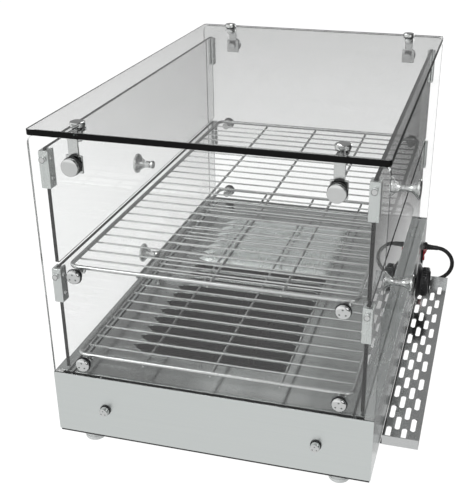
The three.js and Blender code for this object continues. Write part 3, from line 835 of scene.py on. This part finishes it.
def flaps():
    knob, screws = flap_knob(), flap_screws()
    for level in PIVOT_Z:
        up = shifted(z=PIVOT_Z[level] - PIVOT_Z["lower"])
        knob_up = shifted(z=KNOB_Z[level] - KNOB_Z["lower"])
        for side, side_sign in SIDES.items():
            name = f"{level}_{side}"
            body = f"{name}_flap"
            pane(f"flap_glass_{name}", f"flap_pane_{name}", 1, EDGE_PAINTED_DARK, body, FLAP_CORNER)
            finish_piece(twin(knob, f"flap_pull_{name}", mirrored(1, side_sign) @ knob_up), POLISHED,
                         body, f"flap_knob_{name}")
            for end, end_sign in ENDS.items():
                rounded_copy(f"hinge_clamp_{name}_{end}", f"flap_clamp_{name}_{end}", 0.6, SATIN_BLOCK,
                             3)
                finish_piece(twin(screws, f"clamp_screws_{name}_{end}", mirrored(end_sign, side_sign) @ up),
                             POLISHED, body)
    thrown_away(knob, screws)


# ---- racks ----
FRAME_WIRE, FRAME_CORNER = 2.25, 10
RACK_LIFT, ROD_DROP, CROSS_DROP = 5.25, 3.5, 1.1


def wire_frame(name):
    """the outer wire, a closed loop with round corners"""
    deselect()
    long_run, short_run = RACK_X - FRAME_CORNER, RACK_Y - FRAME_CORNER
    bpy.ops.mesh.primitive_circle_add(vertices=14, radius=FRAME_WIRE * MM, fill_type="NOTHING",
                                      location=(-long_run * MM, -RACK_Y * MM, 0), rotation=(0, math.pi / 2, 0))
    obj = added(name)
    edit(obj)
    runs = [((2 * long_run, 0), (1, -1)), ((0, 2 * short_run), (1, 1)),
            ((-2 * long_run, 0), (-1, 1)), ((0, -2 * short_run), (-1, -1))]
    for (x, y), (sx, sy) in runs:
        bpy.ops.mesh.extrude_region_move(TRANSFORM_OT_translate={"value": (x * MM, y * MM, 0)})
        bpy.ops.mesh.spin(steps=6, angle=-math.pi / 2, center=(sx * long_run * MM, sy * short_run * MM, 0),
                          axis=(0, 0, 1))
    bpy.ops.mesh.select_all(action="SELECT")
    bpy.ops.mesh.remove_doubles(threshold=0.05 * MM)
    bpy.ops.mesh.normals_make_consistent(inside=False)
    leave()
    obj.data.transform(Matrix.Translation(at(0, 0, 0)))
    return smooth(obj, 50)


def rack(level):
    """the outer wire on its studs, three long rods under it and the cross wires that carry the food"""
    pieces = [wire_frame("wire")]
    rod = turned("rod", [(1, -RACK_X - 1), (1.5, -RACK_X), (1.5, RACK_X), (1, RACK_X + 1)],
                 (0, 0, -ROD_DROP), "+x", 10)
    cross = turned("cross", [(0.6, -RACK_Y - 0.6), (1, -RACK_Y + 0.4), (1, RACK_Y - 0.4), (0.6, RACK_Y + 0.6)],
                   (0, 0, -CROSS_DROP), "+y", 8)
    pieces += [twin(rod, "rod", shifted(y=y)) for y in (-RACK_Y / 2, 0, RACK_Y / 2)]
    pieces += [twin(cross, "cross", shifted(-RACK_X + row * BAY)) for row in range(1, BAYS)]
    thrown_away(rod, cross)
    wires = joined(f"rack_wires_{level}", pieces)
    wires.data.transform(shifted(z=STUD_Z[level] + RACK_LIFT))
    finish_piece(wires, WIRE, "case", f"rack_{level}")


# ---- operator's side ----
# corners shorter than SHELF_SHEET are the slots' own, and lie outside SLOTS_FROM
SHELF_SHEET, SLOTS_FROM, SLOT_END = 2, -177.8, 2.85
# where the strip of painted shadow lies along the gap between the shelf and the wall
SHADOW_STRIP_X, SHADOW_STRIP_OUT, SHADOW_STRIP_LOW, SHADOW_STRIP_HIGH = 201, -177.6, 12.1, 12.9


def shelf():
    """the perforated shelf: the short upright corners inside its slots are rounded, and a black strip of
    painted shadow is laid where its plate meets the wall, for the dark gap there"""
    obj = copy_of_node("operator_shelf", "shelf_sheet")
    edit(obj)
    mesh = bmesh.from_edit_mesh(obj.data)
    bpy.ops.mesh.select_all(action="DESELECT")
    for edge in mesh.edges:
        a, b = edge.verts[0].co, edge.verts[1].co
        upright = abs(a.x - b.x) < 1e-5 and abs(a.y - b.y) < 1e-5 and len(edge.link_faces) == 2
        in_plate = a.y < at(0, SLOTS_FROM, 0).y and (a - b).length < SHELF_SHEET * MM
        edge.select_set(upright and in_plate and not edge.is_convex)
    bmesh.update_edit_mesh(obj.data)
    bpy.ops.mesh.bevel(offset=SLOT_END * MM, segments=5, affect="EDGES")
    leave()
    rounded(obj, 0.25, 1, 60)
    finish_piece(obj, SHELF_STEEL, "case", "operator_shelf")
    # painted shadow: a black strip stands for the dark gap between the shelf's plate and the wall
    strip = block("shelf_painted_shadow_strip", -SHADOW_STRIP_X, SHADOW_STRIP_X, SHADOW_STRIP_OUT, -HALF_WIDTH - 0.1, SHADOW_STRIP_LOW, SHADOW_STRIP_HIGH, 0.1)
    finish_piece(strip, BLACK_ENAMEL_AND_PAINTED_SHADOW)


KNOB_OFF_WALL, BAR_TOP, RIBS = 2.4, 17.8, 30
TICKS, TICK_APART, SCALE_RADIUS, TALL_TICK, SHORT_TICK = 10, 30, 26, 4, 2.4
ROCKER_STRETCH = 1.3


def about_dial(degrees):
    """a turn about the thermostat's axis"""
    centre = Matrix.Translation(at(DIAL_X, 0, DIAL_Z))
    return centre @ Matrix.Rotation(math.radians(degrees), 4, "Y") @ centre.inverted()


def thermostat(wall):
    """a round waisted knob with ribs and a grip bar over its block, a pointer, and a scale without figures"""
    rounded_copy("thermostat_body", "thermostat_block", 0.6, BLACK_PLASTIC)
    face = wall - KNOB_OFF_WALL
    pieces = [turned("round", [
        (3, 0), (24, 0), (24.5, 0.5), (24.5, 2), (24, 2.6), (21, 4.2), (19.7, 5.6), (19.3, 8), (19.5, 11),
        (20.2, 14), (20.1, 15), (19.6, 15.7), (18.6, 16), (3, 16),
    ], (DIAL_X, face, DIAL_Z), "-y", 72)]
    pieces.append(block("bar", DIAL_X - 2.5, DIAL_X + 2.5, face - BAR_TOP, face - 15.6,
                        DIAL_Z - 16.5, DIAL_Z + 16.5, 0.9))
    rib = block("rib", DIAL_X - 0.7, DIAL_X + 0.7, face - 14.6, face - 7, DIAL_Z + 18.6, DIAL_Z + 20.4, 0.4)
    pieces += [twin(rib, "rib", about_dial(360 / RIBS * step)) for step in range(RIBS)]
    thrown_away(rib)
    finish_piece(joined("thermostat_grip", pieces), BLACK_PLASTIC, "thermostat_knob",
                 "thermostat_knob")
    line = block("thermostat_pointer", DIAL_X - 0.7, DIAL_X + 0.7, face - BAR_TOP - 0.2, face - BAR_TOP + 0.2,
                 DIAL_Z + 3, DIAL_Z + 15, 0.1)
    finish_piece(line, WHITE_MARK, "thermostat_knob")
    ticks = []
    for step in range(TICKS):
        height = TALL_TICK if step % 3 == 0 else SHORT_TICK
        tick = block("tick", DIAL_X - 0.4, DIAL_X + 0.4, wall - 0.12, wall + 0.2,
                     DIAL_Z + SCALE_RADIUS, DIAL_Z + SCALE_RADIUS + height, 0.05)
        tick.data.transform(about_dial(TICK_APART * step))
        ticks.append(tick)
    finish_piece(joined("thermostat_scale", ticks), BLACK_ENAMEL_AND_PAINTED_SHADOW)


def switch(wall):
    """the red rocker, drawn out a little from the wall, in its frame"""
    rounded_copy("switch_body", "switch_frame", 0.4, BLACK_PLASTIC)
    button = rounded_copy("switch_rocker", "switch_button", 0.5, RED, 3)
    front = Matrix.Translation(at(0, wall, 0))
    button.data.transform(front @ Matrix.Diagonal((1, ROCKER_STRETCH, 1, 1)) @ front.inverted())


base()
deck()
rack_studs()
base_bolts()
top_clamps()
hinge_pins()
glass_case()
flaps()
for rack_level in STUD_Z:
    rack(rack_level)
shelf()
thermostat(-HALF_WIDTH)
switch(-HALF_WIDTH)


# ---- studio ----
FLOOR_SIZE, FLOOR_Z = 8, -0.0002
FLOOR_SHADED, FLOOR_LIT = (0.1, 0.1, 0.1), (0.9, 0.9, 0.9)
# painted shade: the floor's colour is darker from the near end on, beside the operator's wall, and all of it
# beyond the far end
SHADE_FROM_X, SHADE_TO_Y, SHADE_BEYOND_X = (-0.206, -0.2), (-0.26, -0.12), (0.3, 0.7)
# how bright the floor looks in a mirroring face and straight on, and how much of it straight on is even white
MIRRORED_GLOW, SEEN_GLOW, EVEN_SHARE = 0.92, 1.12, 0.92
# the room that metal and glass mirror, as (from, to, brightness before, brightness after) along one direction:
# from the operator's side to the customer's, from the near end to beyond the far end, and from low to overhead
ROOM_SIDE, ROOM_FAR, ROOM_ABOVE = (-0.45, 0.0, 0.06, 1.15), (0.1, 0.7, 1.0, 0.26), (0.55, 0.9, 1.0, 0.62)
LAMPS_AIM = (0, 0, 0.2)
# name, place, size and power of the lamps that a picture doesn't show
STRIPS = [("far_strip", (2.2, -1.05, 0.62), (1.1, 0.7), 11),
          ("far_strip_high", (2.0, 0.6, 2.2), (0.25, 1.2), 6)]


def product(tree, *values):
    total = values[0]
    for value in values[1:]:
        times = node(tree, "ShaderNodeMath", operation="MULTIPLY")
        tree.links.new(total, times.inputs[0])
        tree.links.new(value, times.inputs[1])
        total = times.outputs[0]
    return total


def scaled(tree, source, start, stop, from_value, to_value):
    """from_value below start and to_value above stop, smoothly"""
    made = node(tree, "ShaderNodeMapRange", interpolation_type="SMOOTHSTEP")
    for name, value in (("From Min", start), ("From Max", stop), ("To Min", from_value),
                        ("To Max", to_value)):
        made.inputs[name].default_value = value
    tree.links.new(source, made.inputs["Value"])
    return made.outputs["Result"]


def bounced(tree):
    """1 for light paths that have met a mirroring or dull face, 0 for those seen straight or through glass"""
    path = node(tree, "ShaderNodeLightPath")
    total = node(tree, "ShaderNodeMath", operation="ADD")
    some = node(tree, "ShaderNodeMath", operation="GREATER_THAN")
    some.inputs[1].default_value = 0.5
    tree.links.new(path.outputs["Glossy Depth"], total.inputs[0])
    tree.links.new(path.outputs["Diffuse Depth"], total.inputs[1])
    tree.links.new(total.outputs[0], some.inputs[0])
    return some.outputs[0]


def directions(tree, kind):
    """the x, y and z of one kind of texture coordinates"""
    coords = node(tree, "ShaderNodeTexCoord")
    split = node(tree, "ShaderNodeSeparateXYZ")
    tree.links.new(coords.outputs[kind], split.inputs[0])
    return [split.outputs[axis] for axis in "XYZ"]


def floor():
    """an even white where it is looked at; its colour holds painted shade, and in what mirrors it the floor
    glows in that colour, painted shade included
    """
    deselect()
    bpy.ops.mesh.primitive_plane_add(size=FLOOR_SIZE, location=(0, 0, FLOOR_Z))
    sheet = bpy.context.active_object
    sheet.name = "studio_floor"
    made, tree, shader = material("pale_floor")
    shader.inputs["Roughness"].default_value = 0.9
    x, y, _ = directions(tree, "Object")
    beside = product(tree, scaled(tree, y, *SHADE_TO_Y, 1, 0), scaled(tree, x, *SHADE_FROM_X, 0, 1))
    shaded = node(tree, "ShaderNodeMath", operation="MAXIMUM")
    tree.links.new(beside, shaded.inputs[0])
    tree.links.new(scaled(tree, x, *SHADE_BEYOND_X, 0, 1), shaded.inputs[1])
    tone = blended(tree, shaded.outputs[0], FLOOR_LIT, FLOOR_SHADED)
    tree.links.new(tone, shader.inputs["Base Color"])
    # the floor glows in its colour, painted shade included, for light that has bounced off a face
    mirror_image = node(tree, "ShaderNodeEmission", Strength=MIRRORED_GLOW)
    tree.links.new(tone, mirror_image.inputs["Color"])
    white = node(tree, "ShaderNodeEmission", Strength=SEEN_GLOW)
    even = node(tree, "ShaderNodeMixShader", Fac=EVEN_SHARE)
    seen = node(tree, "ShaderNodeMixShader")
    tree.links.new(shader.outputs[0], even.inputs[1])
    tree.links.new(white.outputs[0], even.inputs[2])
    tree.links.new(bounced(tree), seen.inputs["Fac"])
    tree.links.new(even.outputs[0], seen.inputs[1])
    tree.links.new(mirror_image.outputs[0], seen.inputs[2])
    tree.links.new(seen.outputs[0], tree.nodes["Material Output"].inputs["Surface"])
    sheet.data.materials.append(made)


def lamp(name, place, size, power):
    data = bpy.data.lights.new(name, "AREA")
    data.shape, data.size, data.size_y, data.energy = "RECTANGLE", size[0], size[1], power
    obj = bpy.data.objects.new(name, data)
    obj.location = place
    obj.rotation_mode = "QUATERNION"
    obj.rotation_quaternion = (Vector(LAMPS_AIM) - Vector(place)).to_track_quat("-Z", "Y")
    bpy.context.scene.collection.objects.link(obj)
    return obj


def studio():
    """white where it is looked at or looked through; what shines sees a room darker at the operator's side,
    beyond the far end and overhead"""
    world = bpy.data.worlds.new("studio")
    bpy.context.scene.world = world
    world.use_nodes = True
    tree = world.node_tree
    shown = tree.nodes["Background"]
    shown.inputs["Color"].default_value = (1, 1, 1, 1)
    lit = node(tree, "ShaderNodeBackground", Strength=1.0)
    x, y, z = directions(tree, "Generated")
    room = product(tree, scaled(tree, y, *ROOM_SIDE), scaled(tree, x, *ROOM_FAR), scaled(tree, z, *ROOM_ABOVE))
    tree.links.new(room, lit.inputs["Color"])
    mix = node(tree, "ShaderNodeMixShader")
    tree.links.new(bounced(tree), mix.inputs["Fac"])
    tree.links.new(shown.outputs[0], mix.inputs[1])
    tree.links.new(lit.outputs[0], mix.inputs[2])
    tree.links.new(mix.outputs[0], tree.nodes["World Output"].inputs["Surface"])
    lamp("key", (-1.2, 1.4, 2.0), (1.6, 1.6), 26).visible_glossy = False
    lamp("fill", (-1.6, -1.6, 1.4), (1.4, 1.4), 10)
    for settings in STRIPS:
        strip = lamp(*settings)
        strip.visible_camera = strip.visible_transmission = False
    bpy.context.scene.view_settings.view_transform = "Standard"


floor()
studio()
